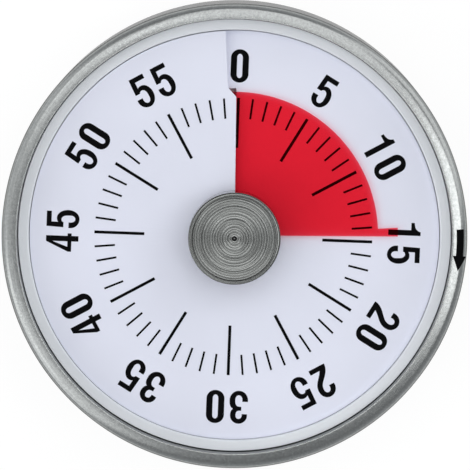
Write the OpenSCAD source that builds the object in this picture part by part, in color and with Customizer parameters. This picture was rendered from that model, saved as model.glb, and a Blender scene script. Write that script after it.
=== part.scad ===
// Magnetic wind-up visual countdown timer, in millimetres.
// +Z points out of the dial and +Y to 12 o'clock. The origin is the centre of the resting face.
// A clock angle is measured clockwise from 12 o'clock, as seen from the front.

/* [Case] */
// Outside diameter of the drawn steel case
case_d = 80; // [79:0.5:84]
// Sheet thickness of the case
case_wall = 0.6; // [0.5:0.05:0.7]
// Radial width of the rolled front rim
rim_w = 2.6; // [2.5:0.1:3]
// Radius of the rim's outer roll
rim_roll_r = 1.6; // [1.2:0.1:1.7]
// Depth of the flange that the rim turns down inside
lip_depth = 5; // [4.6:0.1:5.2]
// Height of the rim above the high end of the dial
rim_above = 3.6; // [3.4:0.1:4]
// Radial gap between the case wall and what slides into it
case_gap = 0.2; // [0.1:0.05:0.3]

/* [Dial] */
// Radial width from the rim's flange to the dial
bezel_w = 2; // [1.8:0.1:2.4]
// Open gap between the bezel's face and the rim's flange
bezel_gap = 0.25; // [0.15:0.05:0.35]
// Fall of the bezel ring from its inner edge to under the rim
bezel_fall = 1.2; // [0.8:0.1:1.4]
// Height of the bezel's inner edge above the high end of the dial
bezel_above = 0.4; // [0.2:0.05:0.6]
// Rise of the screw-ramp dial in one turn
ramp_h = 1.6; // [1.5:0.05:1.9]
// Thickness of the dial's thin ramp sheet
dial_t = 0.4; // [0.35:0.05:0.5]
// Clock angle of the slit's free edge
slit_a = -1.4; // [-2:0.1:-1]
// Clock angle of the step in the dial's outer part
step_a = -4.6; // [-6:0.1:-4]
// Radius where the slit's edge starts its chamfer to the step
chamfer_r = 23.9; // [23:0.1:24.2]
// Reach of the curved guide tongue beside the knob, to the right of 12 o'clock
tongue_l = 3.1; // [2.6:0.1:3.4]
// Width of the guide tongue
tongue_w = 0.8; // [0.6:0.1:0.9]
// How far the tongue's outer edge lies inside the knob's edge
tongue_in = 0.3; // [0.2:0.05:0.4]

/* [Time disc] */
// Diameter of the red film disc
film_d = 49.5; // [48:0.5:50]
// Thickness of the film
film_t = 0.25; // [0.2:0.01:0.3]
// Reach of the pointer tab past the disc
tab_reach = 3.4; // [3:0.1:4]
// Width of the pointer tab
tab_w = 1.4; // [1.1:0.1:1.5]
// Minutes shown in the modelled position
minutes = 14.7; // [1:0.1:59]
// Outside diameter of the disc's hub
hub_d = 9.2; // [8.8:0.1:9.6]
// Radial gap round the disc: in its pocket, and between its hub and the dial
film_side = 0.6; // [0.5:0.05:0.8]

/* [Knob] */
// Diameter of the knob
knob_d = 15.8; // [15:0.1:17]
// Height of the knob
knob_h = 6.2; // [5.6:0.1:7]
// Width of the chamfer round the knob's face
knob_chamfer = 0.9; // [0.6:0.1:1.2]
// Wall of the turned steel cap
knob_wall = 0.8; // [0.6:0.05:1]
// Diameter of the arbor under the knob
arbor_d = 4; // [3.8:0.1:4.2]
// Depth of the flat on the arbor
arbor_flat = 0.5; // [0.4:0.05:0.6]
// Diameter of the arbor inside the movement
spindle_d = 3.2; // [3:0.1:3.4]

/* [Movement frame] */
// Thickness of the two brass plates
plate_t = 0.8; // [0.7:0.05:1]
// Distance between the plates
move_gap = 9.6; // [9.4:0.1:10.2]
// Diameter of the pillars
pillar_d = 3.6; // [3.2:0.1:4]
// Radial gap of a pivot in its hole
pivot_gap = 0.05; // [0.03:0.01:0.08]

/* [Going train] */
// Module of the great wheel and its pinion
great_m = 0.5; // [0.49:0.01:0.51]
// Module of the smaller wheels
train_m = 0.4; // [0.39:0.01:0.41]
// Thickness of the wheels
wheel_t = 0.8; // [0.7:0.05:0.9]
// Clock angle from the main arbor to the second arbor
second_dir = 300; // [298:1:302]
// Clock angle from the second arbor to the third
third_dir = 223; // [221:1:225]
// Clock angle from the third arbor to the fourth
fourth_dir = 167; // [165:1:169]
// Clock angle from the fourth arbor to the escape arbor
escape_dir = 150; // [148:1:152]
// Clock angle from the escape arbor to the pallet arbor
pallet_dir = 132; // [130:1:134]
// Clock angle from the pallet arbor to the balance staff
balance_dir = 117; // [116:1:120]
// Play between meshing teeth, taken off each tooth
tooth_play = 0.04; // [0.03:0.01:0.06]

/* [Escapement] */
// Tip diameter of the escape wheel
escape_d = 9.2; // [8.8:0.1:9.4]
// Distance from the escape arbor to the pallet arbor
pallet_reach = 6.2; // [6:0.1:6.4]
// Distance from the pallet arbor to the balance staff
balance_reach = 8.5; // [8.3:0.1:8.8]
// Diameter of the balance wheel
balance_d = 13.6; // [12.6:0.1:14]
// Radius at which the impulse pin stands
impulse_r = 1.6; // [1.5:0.05:1.7]

/* [Springs] */
// Height of the mainspring strip
mainspring_h = 3.6; // [3:0.1:3.8]
// Outer radius of the coiled mainspring
mainspring_r = 12.4; // [11:0.1:12.6]
// Turns of the mainspring
mainspring_n = 6; // [4:1:8]
// Turns of the hairspring
hairspring_n = 6; // [4:1:8]

/* [Bell] */
// Diameter of the bell
bell_d = 34; // [32:0.5:35]
// Height of the bell
bell_h = 3.6; // [3.4:0.1:4.2]
// Sheet thickness of the bell
bell_t = 0.8; // [0.6:0.05:0.9]
// Distance of the bell's centre from the arbor
bell_off = 8.5; // [8:0.1:9]
// Clock angle of the bell's centre
bell_a = 135; // [132:1:138]
// Distance of the hammer's arbor from the main arbor
hammer_off = 17.2; // [17:0.1:18]
// Clock angle of the hammer's arbor
hammer_a = 102; // [100:1:104]
// Gap between the resting hammer head and the bell's wall
strike_gap = 0.95; // [0.9:0.05:1.2]

/* [Back] */
// How far the rubber foot ring stands out of the cover
foot_proud = 0.8; // [0.6:0.1:1.2]
// Thickness of the rear cover
cover_t = 1.8; // [1.7:0.1:2.4]
// Height of the foot ring seated in the cover
foot_seat = 0.6; // [0.4:0.1:0.8]
// Radial width of the foot ring
foot_w = 3.6; // [3:0.1:4]
// Diameter of the magnets
magnet_d = 10; // [8:0.5:10]
// Thickness of the magnets
magnet_t = 1.2; // [0.8:0.1:1.2]
// Thickness of the dial tray's floor
tray_t = 1.4; // [1.3:0.1:1.8]
// Diameter of the tray's screw bosses
boss_d = 3.8; // [3.4:0.1:3.8]

/* [Hidden] */
$fn = 96;

// Colours of the metals
brass = [0.8, 0.68, 0.38];
steel = [0.7, 0.71, 0.73];
screw_grey = [0.7, 0.7, 0.72];
spring_blue = [0.45, 0.5, 0.62];

// Overcut of a bore past its faces, and how far two forms of one piece run into each other
over = 1;
join = 0.5;

// Radii, from the case inwards
case_r = case_d / 2;
shell_in_r = case_r - case_wall;
insert_r = shell_in_r - case_gap;
rim_in_r = case_r - rim_w;
dial_r = rim_in_r - bezel_w;
dial_gap = 0.1;
boss_r = boss_d / 2;
skirt_w = 1;
boss_side = 0.3;
boss_ring_r = insert_r - skirt_w - boss_r - boss_side;
plate_side = 1.1;
plate_r = boss_ring_r - boss_r - plate_side;
pillar_side = 1.7;
pillar_ring_r = plate_r - pillar_d / 2 - pillar_side;
pillar_a = [60, 130, 218, 340];
foot_side = 0.5;
foot_out_r = boss_ring_r - boss_r - foot_side;
foot_in_r = foot_out_r - foot_w;
magnet_side = 1;
magnet_ring_r = foot_in_r - magnet_d / 2 - magnet_side;
film_r = film_d / 2;
pocket_r = film_r + film_side;
hub_r = hub_d / 2;
dial_bore_r = hub_r + film_side;
knob_r = knob_d / 2;
arbor_r = arbor_d / 2;
spindle_r = spindle_d / 2;
tongue_r = knob_r - tongue_in;
slide_gap = 0.05;
press_gap = 0.05;
screw_gap = 0.1;

// The movement's plan sizes are those of a plate of plan_r, and they follow the plates of this case
plan_r = 33;
plan = plate_r / plan_r;
main_m = great_m * plan;
small_m = train_m * plan;
escape_r = escape_d / 2 * plan;
pallet_c = pallet_reach * plan;
balance_c = balance_reach * plan;
balance_r = balance_d / 2 * plan;
spring_r = mainspring_r * plan;
hair_r = 4.8 * plan;
cam_r = 6 * plan;
bell_r = bell_d / 2 * plan;
hammer_c = hammer_off * plan;

// Heights, from the resting face to the front
bell_gap = 1;
bell_clear = 0.6;
disc_clear = 0.5;
knob_clear = 0.45;
film_gap = (ramp_h - dial_t - film_t) / 2;
cover_z = foot_proud;
cover_top = cover_z + cover_t;
bell_z = cover_top + bell_gap;
bell_rim = bell_z + bell_h;
back_z = bell_rim + bell_clear;
move_z = back_z + plate_t;
front_z = move_z + move_gap;
tray_z = front_z + plate_t;
floor_z = tray_z + tray_t;
dial_z = floor_z + disc_clear + ramp_h - film_gap;
dial_hi = dial_z + ramp_h;
film_hi = dial_hi + film_gap + film_t;
knob_z = film_hi + knob_clear;
knob_top = knob_z + knob_h;
bezel_top = dial_hi + bezel_above;
rim_top = dial_hi + rim_above;

// Levels inside the movement
spring_clear = 0.5;
spring_z = move_z + spring_clear;
great_z = spring_z + mainspring_h + spring_clear;
great_t = 1;
second_z = great_z + great_t + 1;
third_z = move_z + 2.6;
fourth_z = great_z + 0.6;
escape_z = move_z + 2.2;
lever_z = escape_z + wheel_t + 0.6;
roller_z = lever_z + wheel_t + 0.3;
balance_z = roller_z + 1.1;
balance_t = 1.2;
hair_z = balance_z + balance_t + 0.6;
hair_h = 0.4;
cam_z = second_z + 0.4;
cam_t = 1;

// Tooth counts of the train
great_n = 60;
second_pn = 10;
second_n = 48;
third_n = 40;
fourth_n = 32;
leaf_n = 8;
escape_n = 15;

film_turn = 362;
rest_a = minutes * 6;
tab_a = tab_w / (film_r + tab_reach / 2) * 180 / PI;
ramp_step = 3;
skin = 0.02;

// Point at radius r and clock angle a
function at(r, a) = [r * sin(a), r * cos(a)];
// Height of the dial's ramp at clock angle a
function ramp(a) = ramp_h * a / 360;
// Points of an arc in a profile
function arc(cx, cy, r, a0, a1, n = 6) =
    [for (i = [0:n]) [cx + r * cos(a0 + (a1 - a0) * i / n), cy + r * sin(a0 + (a1 - a0) * i / n)]];
// Outline of a ring's sector between clock angles a0 and a1
function sector(r_in, r_out, a0, a1, n = 8) = concat(
    [for (i = [0:n]) at(r_out, a0 + (a1 - a0) * i / n)],
    [for (i = [n:-1:0]) at(r_in, a0 + (a1 - a0) * i / n)]
);
// Length along direction u from point d to the circle of radius r about [0, 0]
function ray_reach(d, u, r) = let (b = d * u) sqrt(b * b - d * d + r * r) - b;
// Centre distance of a wheel and a pinion
function mesh_c(m, n1, n2) = m * (n1 + n2) / 2;

second_at = at(mesh_c(main_m, great_n, second_pn), second_dir);
third_at = second_at + at(mesh_c(small_m, second_n, leaf_n), third_dir);
fourth_at = third_at + at(mesh_c(small_m, third_n, leaf_n), fourth_dir);
escape_at = fourth_at + at(mesh_c(small_m, fourth_n, leaf_n), escape_dir);
pallet_at = escape_at + at(pallet_c, pallet_dir);
balance_at = pallet_at + at(balance_c, balance_dir);
bell_at = at(bell_off * plan, bell_a);
hammer_at = at(hammer_c, hammer_a);
hammer_dir = 202;
hammer_r = 1.8;
hammer_reach = ray_reach(hammer_at - bell_at, at(1, hammer_dir), bell_r - bell_t - hammer_r - strike_gap);
stud_a = 30;
hair_stud_a = 90;

// Bodies that turn on their own pivots: place, pivot radius and body radius
big_pivot = 0.5;
small_pivot = 0.35;
arbor_body = 0.8;
staff_r = 0.6;
end_shake = 0.15;
train_arbors = [
    [second_at, big_pivot], [third_at, big_pivot], [fourth_at, big_pivot], [escape_at, small_pivot],
    [pallet_at, small_pivot], [balance_at, small_pivot]
];
hammer_pivot = 0.8;

/* ---- shared shapes ---- */

module ring(r_out, r_in, h) {
    difference() {
        cylinder(r = r_out, h = h);
        translate([0, 0, -over]) cylinder(r = r_in, h = h + 2 * over);
    }
}

// Closed shell of a section swept along the ramp. Each station is [radius, height above the ramp].
// end_a lists the clock angle at which each station of the last section lies.
module ramp_sweep(section, angles, end_a, base) {
    m = len(section);
    n = len(angles);
    points = [
        for (i = [0:n]) for (j = [0:m - 1])
            let (a = i < n ? angles[i] : end_a[j], p = at(section[j][0], a))
                [p[0], p[1], base + ramp(a) + section[j][1]]
    ];
    half = m / 2;
    sides = [
        for (i = [0:n - 1]) for (j = [0:m - 1])
            let (k = (j + 1) % m, a = i * m + j, b = i * m + k, c = a + m, d = b + m)
                each [[a, b, d], [a, d, c]]
    ];
    // both ends are strips of vertical faces between the top and the bottom row
    start = [
        for (j = [0:half - 2]) let (a = j, b = j + 1, c = m - 2 - j, d = m - 1 - j)
            each [[a, d, c], [a, c, b]]
    ];
    last = n * m;
    finish = [for (f = start) [f[0] + last, f[2] + last, f[1] + last]];
    polyhedron(points = points, faces = concat(sides, start, finish), convexity = 8);
}

// Angles of a sweep from a0 to a1 with the shared step in between
function sweep_angles(a0, a1) =
    concat([a0], [for (a = [ceil((a0 + 0.5) / ramp_step) * ramp_step:ramp_step:a1 - 0.5]) a]);

// Ring with a flat base and a screw-ramp top, which closes on itself at a vertical step
module ramp_annulus(r_in, r_out, a0, base_z, top_z) {
    n = 360 / ramp_step;
    angles = [for (i = [0:n]) a0 + i * ramp_step];
    low = [for (i = [0:n - 1]) for (r = [r_in, r_out]) concat(at(r, angles[i]), base_z)];
    top = [for (a = angles) for (r = [r_in, r_out]) concat(at(r, a), top_z + ramp(a))];
    t = 2 * n;
    e = t + 2 * n;
    full = [
        for (i = [0:n - 2]) let (b = 2 * i, u = t + b)
            each [
                [b, b + 2, b + 3], [b, b + 3, b + 1],
                [u, u + 1, u + 3], [u, u + 3, u + 2],
                [b, u, u + 2], [b, u + 2, b + 2],
                [b + 1, b + 3, u + 3], [b + 1, u + 3, u + 1]
            ]
    ];
    b = 2 * (n - 1);
    u = t + b;
    join = [
        [b, 0, 1], [b, 1, b + 1], [u, u + 1, e + 1], [u, e + 1, e],
        [b, u, e], [b, e, t], [b, t, 0],
        [b + 1, 1, t + 1], [b + 1, t + 1, e + 1], [b + 1, e + 1, u + 1],
        [e, e + 1, t + 1], [e, t + 1, t]
    ];
    polyhedron(points = concat(low, top), faces = concat(full, join), convexity = 8);
}

// Outline of an involute gear. shift moves the profile outwards, tip and root are radii.
function involute(a) = tan(a) - a * PI / 180;
function half_tooth(m, n, shift, play, r) =
    let (
        pitch_r = m * n / 2,
        base_r = pitch_r * cos(20),
        half = (m * (PI / 2 + 2 * shift * tan(20)) - play) / (2 * pitch_r) + involute(20),
        phi = r > base_r ? acos(base_r / r) : 0
    ) (half - involute(phi)) * 180 / PI;
function gear_outline(m, n, shift, tip, root, play, steps = 3) =
    let (
        base_r = max(m * n / 2 * cos(20), root),
        radii = concat([root], [for (i = [0:steps]) base_r + (tip - base_r) * i / steps]),
        flank = [for (r = radii) [r, half_tooth(m, n, shift, play, r)]],
        k = len(flank) - 1
    ) [
        for (i = [0:n - 1]) each concat(
            [for (j = [0:k]) let (f = flank[j], a = 360 * i / n - f[1]) [f[0] * cos(a), f[0] * sin(a)]],
            [for (j = [k:-1:0]) let (f = flank[j], a = 360 * i / n + f[1]) [f[0] * cos(a), f[0] * sin(a)]]
        )
    ];

shift = 0.5;
root_clear = 0.25;
function wheel_tip(m, n) = m * (n / 2 + 0.45);
function leaf_tip(m, n) = m * (n / 2 + 1.3);

// Toothed disc with a tooth centred on clock angle dir; mate is the pinion's leaf count
module gear_disc(m, n, mate, dir, h) {
    root = mesh_c(m, n, mate) - leaf_tip(m, mate) - root_clear * m;
    rotate([0, 0, 90 - dir])
        linear_extrude(height = h)
            polygon(gear_outline(m, n, -shift, wheel_tip(m, n), root, tooth_play));
}

// Crossed-out wheel: toothed rim, arms and hub, bored for its arbor
module crossed_wheel(m, n, mate, dir, h, hub, bore, arms = 4) {
    rim_in = m * n / 2 - 3.2 * m;
    arm_w = 0.16 * rim_in;
    arm_end = rim_in + m / 2;
    difference() {
        union() {
            difference() {
                gear_disc(m, n, mate, dir, h);
                translate([0, 0, -over]) cylinder(r = rim_in, h = h + 2 * over);
            }
            for (i = [0:arms - 1]) rotate([0, 0, 90 - dir + 360 * i / arms])
                translate([0, -arm_w / 2, 0]) cube([arm_end, arm_w, h]);
            cylinder(r = hub, h = h);
        }
        translate([0, 0, -over]) cylinder(r = bore, h = h + 2 * over);
    }
}

// Leaves of a pinion with a space centred on clock angle dir; mate is the wheel's tooth count
module leaves(m, n, mate, dir, h) {
    root = mesh_c(m, n, mate) - wheel_tip(m, mate) - root_clear * m;
    rotate([0, 0, 90 - dir + 180 / n])
        linear_extrude(height = h)
            polygon(gear_outline(m, n, shift, leaf_tip(m, n), root, tooth_play));
}

// Turned arbor between the plates with a pivot at each end
module pivot_arbor(body, pivot) {
    translate([0, 0, move_z + end_shake]) cylinder(r = body, h = move_gap - 2 * end_shake);
    translate([0, 0, back_z]) cylinder(r = pivot, h = move_gap + 2 * plate_t);
}

// Flat strip coiled in a plane
module spiral(r_in, r_out, turns, t, h, a0) {
    n = round(turns * 30);
    mid = [for (i = [0:n]) [r_in + (r_out - r_in) * i / n, a0 + 360 * turns * i / n]];
    linear_extrude(height = h)
        polygon(concat(
            [for (p = mid) at(p[0] + t / 2, p[1])],
            [for (i = [n:-1:0]) at(mid[i][0] - t / 2, mid[i][1])]
        ));
}

// Round wire swept along points; each entry is [point, sideways direction]
module wire(path, r) {
    sides = 8;
    n = len(path);
    points = [
        for (p = path) for (j = [0:sides - 1])
            p[0] + r * (cos(360 * j / sides) * p[1] + sin(360 * j / sides) * [0, 0, 1])
    ];
    body = [
        for (i = [0:n - 2]) for (j = [0:sides - 1])
            let (k = (j + 1) % sides, a = i * sides + j, b = i * sides + k)
                each [[a, b, b + sides], [a, b + sides, a + sides]]
    ];
    caps = [
        for (j = [1:sides - 2])
            each [[0, j + 1, j], [(n - 1) * sides, (n - 1) * sides + j, (n - 1) * sides + j + 1]]
    ];
    polyhedron(points = points, faces = concat(body, caps), convexity = 8);
}

// Screw standing head down at z = 0, with its shank up and a cross in its head
module pan_screw(head_r, head_h, shank_r, shank_h) {
    cross_l = 1.2 * head_r;
    cross_w = 0.24 * head_r;
    difference() {
        union() {
            cylinder(r = head_r, h = head_h);
            cylinder(r = shank_r, h = head_h + shank_h);
        }
        for (a = [0, 90]) rotate([0, 0, a])
            translate([-cross_l / 2, -cross_w / 2, -over]) cube([cross_l, cross_w, over + head_h / 2]);
    }
}

// Screw with a slotted cone head flush with z = 0 and its shank down
module csk_screw(head_r, shank_r, length) {
    cone_h = head_r - shank_r;
    slot_w = 0.24 * head_r;
    slot_h = 0.3;
    difference() {
        union() {
            translate([0, 0, -cone_h]) cylinder(r1 = shank_r, r2 = head_r, h = cone_h);
            translate([0, 0, -length]) cylinder(r = shank_r, h = length - cone_h / 2);
        }
        translate([-head_r, -slot_w / 2, -slot_h]) cube([2 * head_r, slot_w, slot_h + over]);
    }
}

// Children at every pillar, and at every screw boss
module at_pillars() {
    for (a = pillar_a) translate(concat(at(pillar_ring_r, a), 0)) children();
}
boss_n = 4;
boss_a = 45;
module at_bosses() {
    for (i = [0:boss_n - 1]) translate(concat(at(boss_ring_r, boss_a + 360 * i / boss_n), 0)) children();
}

/* ---- case and dial ---- */

lip_corner_r = 0.5;
mouth_edge = 0.2;
shoulder_z = rim_top - case_wall;
module case_shell() {
    roll_in = rim_roll_r - case_wall;
    roll_c = [case_r - rim_roll_r, rim_top - rim_roll_r];
    color([0.72, 0.73, 0.72]) rotate_extrude()
        polygon(concat(
            [[shell_in_r, cover_z], [case_r - mouth_edge, cover_z], [case_r, cover_z + mouth_edge]],
            arc(roll_c[0], roll_c[1], rim_roll_r, 0, 90, 8),
            arc(rim_in_r + lip_corner_r, rim_top - lip_corner_r, lip_corner_r, 90, 180, 4),
            [[rim_in_r, rim_top - lip_depth], [rim_in_r + case_wall, rim_top - lip_depth]],
            [[rim_in_r + case_wall, shoulder_z]],
            arc(roll_c[0], roll_c[1], roll_in, 90, 0, 6)
        ));
}

// Moulded ring: its shoulder bears under the rim, its groove takes the rim's flange, and its face slopes
// down from the dial to the flange
groove_side = 0.15;
groove_low = 0.3;
module bezel_ring() {
    shoulder_in = rim_in_r + case_wall + groove_side;
    shoulder_out = case_r - rim_roll_r;
    side_top = rim_top - rim_roll_r - case_gap;
    groove_z = rim_top - lip_depth - groove_low;
    face_out = rim_in_r - bezel_gap;
    edge_w = 0.35;
    edge_h = 0.25;
    color([0.9, 0.92, 0.94]) rotate_extrude()
        polygon(concat(
            [[dial_r, floor_z], [insert_r, floor_z], [insert_r, side_top]],
            [[shoulder_out, shoulder_z], [shoulder_in, shoulder_z]],
            [[shoulder_in, groove_z], [face_out, groove_z], [face_out, bezel_top - bezel_fall]],
            [for (a = [90:30:180]) [dial_r + edge_w * (1 + cos(a)), bezel_top - edge_h * (1 - sin(a))]]
        ));
}

// One turn of a shallow screw: a thick outer ring, and a thin sheet that the film passes under at the slit
sheet_lap = 0.4;
sheet_lap_a = 0.4;
module dial_plate() {
    sheet_r = [dial_bore_r, chamfer_r, pocket_r + sheet_lap];
    tongue_a = [-4, asin(tongue_l / tongue_r)];
    section = [
        for (r = sheet_r) [r, -skin],
        for (i = [2:-1:0]) [sheet_r[i], -dial_t]
    ];
    end_a = [for (r = section) 360 + (r[0] > chamfer_r ? step_a - sheet_lap_a : slit_a)];
    color([0.87, 0.89, 0.95]) union() {
        ramp_annulus(pocket_r, dial_r - dial_gap, step_a, floor_z, dial_z);
        ramp_sweep(section, sweep_angles(slit_a, 360 + step_a - sheet_lap_a), end_a, dial_z);
        translate([0, 0, dial_hi - dial_t + skin]) linear_extrude(height = dial_t - 4 * skin)
            polygon(sector(tongue_r - tongue_w, tongue_r, tongue_a[0], tongue_a[1]));
    }
}

bush_w = 1.2;
bush_r = arbor_r + bush_w;
csk_r = 1.6;
csk_shank = 0.8;
csk_h = csk_r - csk_shank;
skirt_h = 4;
module dial_tray() {
    color([0.85, 0.86, 0.88]) difference() {
        union() {
            translate([0, 0, tray_z]) cylinder(r = insert_r, h = tray_t);
            translate([0, 0, tray_z - skirt_h]) ring(insert_r, insert_r - skirt_w, skirt_h + join);
            at_bosses() translate([0, 0, cover_top]) cylinder(r = boss_r, h = tray_z - cover_top + join);
        }
        translate([0, 0, tray_z - over]) cylinder(r = bush_r, h = tray_t + 2 * over);
        at_pillars() {
            translate([0, 0, floor_z - csk_h]) cylinder(r1 = csk_shank, r2 = csk_r, h = csk_h);
            translate([0, 0, tray_z - over]) cylinder(r = csk_shank, h = tray_t + over);
            translate([0, 0, floor_z]) cylinder(r = csk_r, h = over);
        }
        at_bosses() translate([0, 0, cover_top - over])
            cylinder(r = cover_shank, h = over + cover_grip + join);
    }
}

module arbor_bush() {
    color(brass) translate([0, 0, tray_z]) ring(bush_r, arbor_r + slide_gap, tray_t);
}

/* ---- back ---- */

cover_shank = 0.8;
cover_head_r = 1.5;
cover_head_h = 1;
cover_grip = 6;
upstand_h = 4;
magnet_n = 4;
module rear_cover() {
    color([0.12, 0.12, 0.13]) difference() {
        union() {
            translate([0, 0, cover_z]) cylinder(r = insert_r, h = cover_t);
            translate([0, 0, cover_z]) ring(insert_r, insert_r - skirt_w, cover_t + upstand_h);
        }
        translate([0, 0, cover_z - over]) ring(foot_out_r, foot_in_r, foot_seat + over);
        at_magnets() cylinder(r = magnet_d / 2 + press_gap, h = 2 * magnet_t, center = true);
        at_bosses() {
            translate([0, 0, cover_z - over]) cylinder(r = cover_head_r + screw_gap, h = cover_head_h + over);
            translate([0, 0, cover_z]) cylinder(r = cover_shank + screw_gap, h = cover_t + over);
        }
    }
}

module at_magnets() {
    for (i = [0:magnet_n - 1]) translate(concat(at(magnet_ring_r, 90 * i), cover_z)) children();
}

module cover_screws() {
    color([0.75, 0.75, 0.76]) at_bosses() translate([0, 0, cover_z])
        pan_screw(cover_head_r, cover_head_h, cover_shank, cover_t - cover_head_h + cover_grip);
}

module magnets() {
    color([0.55, 0.56, 0.58]) at_magnets() cylinder(r = magnet_d / 2, h = magnet_t);
}

module foot_ring() {
    color([0.08, 0.08, 0.08]) ring(foot_out_r, foot_in_r, foot_proud + foot_seat);
}

/* ---- movement frame ---- */

// Plate with a hole for every pivot; extra is a list of [place, radius]
module plate(z, extra) {
    color(brass) difference() {
        translate([0, 0, z]) cylinder(r = plate_r, h = plate_t);
        for (p = train_arbors) translate(concat(p[0], z - over))
            cylinder(r = p[1] + pivot_gap, h = plate_t + 2 * over);
        for (p = extra) translate(concat(p[0], z - over)) cylinder(r = p[1], h = plate_t + 2 * over);
    }
}

module front_plate() {
    plate(front_z, concat(
        [[[0, 0], arbor_r + slide_gap], [hammer_at, hammer_pivot + pivot_gap]],
        [for (a = pillar_a) [at(pillar_ring_r, a), csk_shank]],
        [[hair_stud_at, stud_foot_r]]
    ));
}

rear_pivot = 1;
module back_plate() {
    plate(back_z, concat(
        [[[0, 0], rear_pivot + pivot_gap], [hammer_at, hammer_pivot + pivot_gap]],
        [for (a = pillar_a) [at(pillar_ring_r, a), csk_shank]],
        [[main_stud_at, stud_foot_r]]
    ));
}

screw_grip = 2.4;
screw_short = 0.2;
module pillars() {
    color(brass) at_pillars() difference() {
        translate([0, 0, move_z]) cylinder(r = pillar_d / 2, h = move_gap);
        for (z = [move_z - over, front_z - screw_grip]) translate([0, 0, z])
            cylinder(r = csk_shank, h = screw_grip + over);
    }
}

module movement_screws() {
    color(screw_grey) at_pillars() translate([0, 0, floor_z])
        csk_screw(csk_r, csk_shank, tray_t + plate_t + screw_grip - screw_short);
}

plate_head_r = 1.5;
plate_head_h = 1;
module plate_screws() {
    color(screw_grey) at_pillars() translate([0, 0, back_z - plate_head_h])
        pan_screw(plate_head_r, plate_head_h, csk_shank, plate_t + screw_grip - screw_short);
}

/* ---- springs ---- */

mainspring_t = 0.4;
hairspring_t = 0.16;
stud_r = 0.8;
stud_foot_r = 0.5;
stud_side = 0.03;
stud_end = 0.2;
main_stud_at = at(spring_r + mainspring_t / 2 + stud_r + stud_side, stud_a);
hair_stud_at = balance_at + at(hair_r + hairspring_t / 2 + stud_r + stud_side, hair_stud_a);

// Riveted studs that hold the outer ends of the mainspring and the hairspring
module spring_studs() {
    color(screw_grey) {
        translate(concat(main_stud_at, 0)) union() {
            translate([0, 0, move_z]) cylinder(r = stud_r, h = spring_clear + mainspring_h + stud_end);
            translate([0, 0, back_z]) cylinder(r = stud_foot_r, h = plate_t + stud_end);
        }
        translate(concat(hair_stud_at, 0)) union() {
            translate([0, 0, hair_z - stud_end]) cylinder(r = stud_r, h = front_z - hair_z + stud_end);
            translate([0, 0, front_z - stud_end]) cylinder(r = stud_foot_r, h = plate_t + stud_end);
        }
    }
}

module mainspring() {
    inner = spindle_r + 0.9;
    start_a = stud_a - 360 * mainspring_n;
    color(spring_blue) translate([0, 0, spring_z])
        spiral(inner, spring_r, mainspring_n, mainspring_t, mainspring_h, start_a);
}

module hairspring() {
    inner = arbor_body + 0.7;
    start_a = hair_stud_a - 360 * hairspring_n;
    color(spring_blue) translate(concat(balance_at, hair_z))
        spiral(inner, hair_r, hairspring_n, hairspring_t, hair_h, start_a);
}

// Torsion spring round the hammer's arbor, with a leg at each end
module hammer_spring() {
    coil_side = 0.7;
    coil_r = hammer_pivot + coil_side;
    wire_r = 0.18;
    turns = 4;
    per_turn = 16;
    leg = 4;
    lift = 1;
    z0 = move_z + lift;
    pitch = 0.5;
    n = turns * per_turn;
    function side(a) = concat(at(1, a), 0);
    function tangent(a) = concat(at(1, a + 90), 0);
    coil = [
        for (i = [0:n]) let (a = 360 * i / per_turn)
            [concat(hammer_at + at(coil_r, a), z0 + pitch * i / per_turn), side(a)]
    ];
    path = concat(
        [[coil[0][0] - leg * tangent(0), side(0)]],
        coil,
        [[coil[n][0] + leg * tangent(0), side(0)]]
    );
    color([0.6, 0.62, 0.65]) wire(path, wire_r);
}

/* ---- bell ---- */

bell_hole = 1.3;
bell_screw_r = 1.2;
bell_head_h = 0.65;
bell_post_r = 2.2;
module bell() {
    rim_h = 0.4;
    bend = bell_h - rim_h;
    color([0.75, 0.76, 0.78]) translate(concat(bell_at, 0)) rotate_extrude()
        polygon(concat(
            [[bell_hole, bell_z + bell_t], [bell_hole, bell_z]],
            arc(bell_r - bend, bell_z + bend, bend, -90, 0, 8),
            [[bell_r, bell_rim], [bell_r - bell_t, bell_rim]],
            arc(bell_r - bend, bell_z + bend, bend - bell_t, 0, -90, 8)
        ));
}

module bell_post() {
    color(screw_grey) translate(concat(bell_at, bell_z + bell_t))
        ring(bell_post_r, bell_screw_r, back_z - bell_z - bell_t);
}

module bell_screw() {
    color(screw_grey) translate(concat(bell_at, bell_z - bell_head_h))
        pan_screw(bell_post_r, bell_head_h, bell_screw_r, bell_t + screw_grip);
}

/* ---- arbor and knob ---- */

core_clear = 0.8;
arbor_top = knob_top - knob_wall - core_clear;
step_rise = 0.5;
arbor_step = cam_z + cam_t + step_rise;
flat_rise = 0.1;
spindle_z = move_z + end_shake;
module main_arbor() {
    color(steel) difference() {
        union() {
            translate([0, 0, back_z]) cylinder(r = rear_pivot, h = plate_t + join);
            translate([0, 0, spindle_z]) cylinder(r = spindle_r, h = arbor_step + join - spindle_z);
            translate([0, 0, arbor_step]) cylinder(r = arbor_r, h = arbor_top - arbor_step);
        }
        translate([arbor_r - arbor_flat, -arbor_r, floor_z + flat_rise])
            cube([2 * arbor_r, 2 * arbor_r, knob_top]);
    }
}

great_hub_h = 1.6;
great_hub_r = 3.2;
hub_drop = 0.2;

// Open ring on the arbor, on which the great wheel rests
module arbor_clip() {
    clip_w = 0.7;
    clip_t = 0.2;
    mouth_w = 1.6;
    color(screw_grey) translate([0, 0, great_z - hub_drop - slide_gap - clip_t]) difference() {
        ring(spindle_r + clip_w, spindle_r, clip_t);
        translate([0, -mouth_w / 2, -over]) cube([spindle_r + 2 * clip_w, mouth_w, clip_t + 2 * over]);
    }
}

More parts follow.
